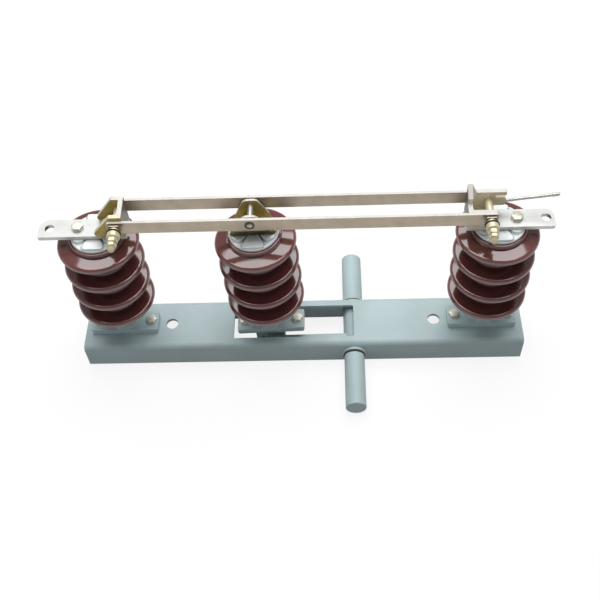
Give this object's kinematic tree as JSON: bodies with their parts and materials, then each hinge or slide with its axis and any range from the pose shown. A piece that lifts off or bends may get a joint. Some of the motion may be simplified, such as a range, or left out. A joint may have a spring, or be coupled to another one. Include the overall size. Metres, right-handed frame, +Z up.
{
  "type": "substation disconnect switch",
  "caption": "Outdoor line disconnect switch: brown porcelain posts on a folded steel channel, with flat copper blades that a cross shaft lifts out of their contact.",
  "frame": {"origin": "on the ground under the middle of the base channel, halfway between the two fixed posts", "axes": "+Z up, +X along the channel from the hinge post to the contact post, +Y away from the spring stacks along the shaft"},
  "size_m": [0.676, 0.272, 0.313],
  "materials": {
    "green_paint": "grey-green satin enamel on steel plate",
    "porcelain": "dark brown glazed porcelain",
    "cast_cap": "cast iron with aluminium paint",
    "tinned_copper": "copper bar with bright tin plating",
    "plated_copper": "copper bar with dull champagne plating",
    "gold_zinc": "yellow chromated zinc on folded steel",
    "pale_zinc": "pale yellow chromated zinc on bolts",
    "bright_steel": "bright drawn steel rod"
  },
  "bodies": {
    "base": {"base_channel": "green_paint", "shaft_bushes": "green_paint", "left_foot": "green_paint", "left_insulator": "porcelain", "left_cap": "cast_cap", "left_foot_bolts": "pale_zinc", "right_foot": "green_paint", "right_insulator": "porcelain", "right_cap": "cast_cap", "right_foot_bolts": "pale_zinc", "hinge_terminal": "tinned_copper", "hinge_terminal_bolts": "pale_zinc", "hinge_bracket": "gold_zinc", "contact_terminal": "tinned_copper", "contact_terminal_bolts": "pale_zinc", "contact_bracket": "gold_zinc", "arcing_horn": "bright_steel", "hinge_bolt": "pale_zinc", "hinge_pressure_plate": "gold_zinc", "hinge_spring_cup": "pale_zinc", "hinge_nut": "pale_zinc", "contact_bolt": "pale_zinc", "contact_pressure_plate": "gold_zinc", "contact_spring_cup": "pale_zinc", "contact_nut": "pale_zinc"},
    "shaft": {"operating_shaft": "green_paint", "shaft_rings": "bright_steel", "crank_arm": "green_paint", "crank_pin": "bright_steel"},
    "blades": {"front_blade": "plated_copper", "back_blade": "plated_copper", "drive_pin": "bright_steel", "drive_pin_washers": "gold_zinc"},
    "middle_post": {"middle_foot": "green_paint", "middle_insulator": "porcelain", "middle_cap": "cast_cap", "middle_foot_bolts": "pale_zinc", "drive_lug": "green_paint", "drive_bracket": "gold_zinc", "drive_bracket_bolts": "pale_zinc"}
  },
  "joints": [
    {"name": "blade_swing", "type": "hinge", "parent": "base", "child": "blades", "pos_m": [-0.23, 0, 0.2875], "axis": [0, -1, 0], "range_deg": [0, 25]},
    {"name": "shaft_turn", "type": "hinge", "parent": "base", "child": "shaft", "pos_m": [0.077, 0, 0.018], "axis": [0, 1, 0], "range_deg": [0, 39.8]},
    {"name": "post_tilt", "type": "hinge", "parent": "blades", "child": "middle_post", "pos_m": [-0.057, 0, 0.2875], "axis": [0, 1, 0], "range_deg": [0, 15.9]}
  ],
  "couplings": [
    {"joint": "shaft_turn", "follows": "blade_swing", "ratio": 1.59},
    {"joint": "post_tilt", "follows": "blade_swing", "ratio": 0.633}
  ]
}
